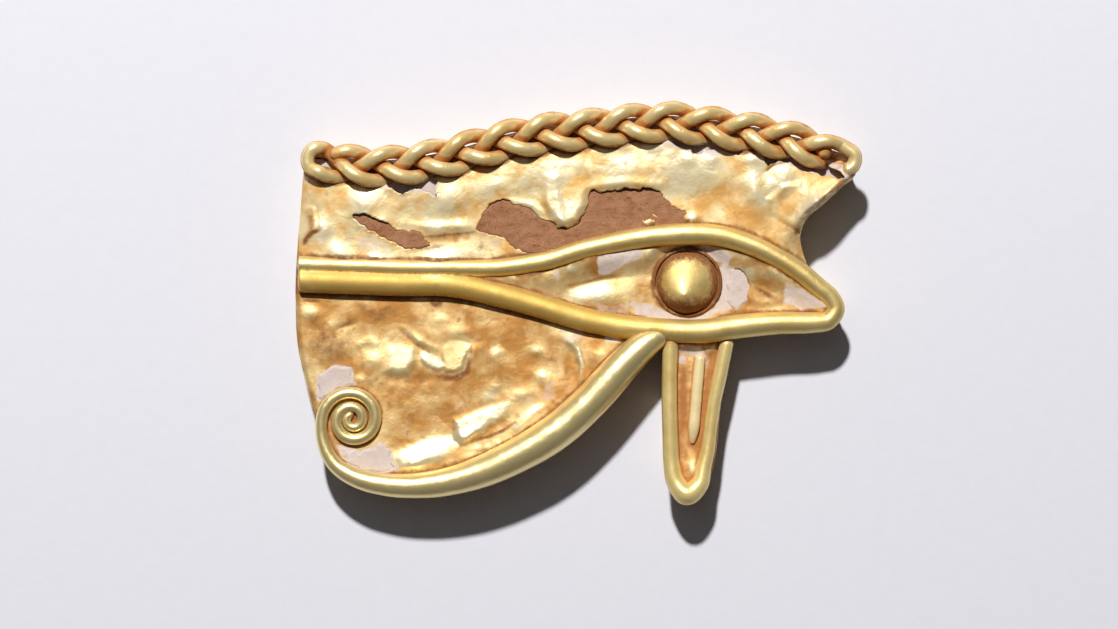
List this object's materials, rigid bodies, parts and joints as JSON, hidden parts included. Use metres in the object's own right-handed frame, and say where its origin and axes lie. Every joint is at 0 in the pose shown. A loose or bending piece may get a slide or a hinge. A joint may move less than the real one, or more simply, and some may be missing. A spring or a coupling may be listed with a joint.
{
  "type": "eye amulet",
  "caption": "Small wedjat eye amulet: a flat gold tray with a filled core, crumpled foil front, wire lids, domed pupil, coiled cheek wire and plaited brow.",
  "frame": {"origin": "middle of the flat back face, which is the lowest face", "axes": "+X along the eye towards its outer corner, +Y up to the brow, +Z out of the front"},
  "size_m": [0.0241, 0.0169, 0.0031],
  "materials": {
    "sheet_gold": "hand-worked sheet gold, satin with fine scratches",
    "foil_gold": "thin beaten foil, bright and crumpled",
    "wire_gold": "drawn and hammered wire, smooth, worn bright on top",
    "core": "dried grainy clay and resin, matt",
    "plaster": "pale fine plaster, matt"
  },
  "bodies": {
    "root": {"back_sheet": "sheet_gold", "edge_strip": "sheet_gold", "drop_edge_strip": "sheet_gold", "pupil_boss": "sheet_gold", "pupil_collar": "sheet_gold", "brow_foil": "foil_gold", "eye_foil": "foil_gold", "cheek_foil": "foil_gold", "drop_foil": "foil_gold", "lid_wire": "wire_gold", "cheek_wire": "wire_gold", "brow_plait_folded_wire": "wire_gold", "brow_plait_single_wire": "wire_gold", "drop_border_wire": "wire_gold", "drop_rib_wire": "wire_gold", "core_fill": "core", "drop_core": "core", "plaster_bed": "plaster", "drop_plaster_bed": "plaster"}
  },
  "joints": []
}
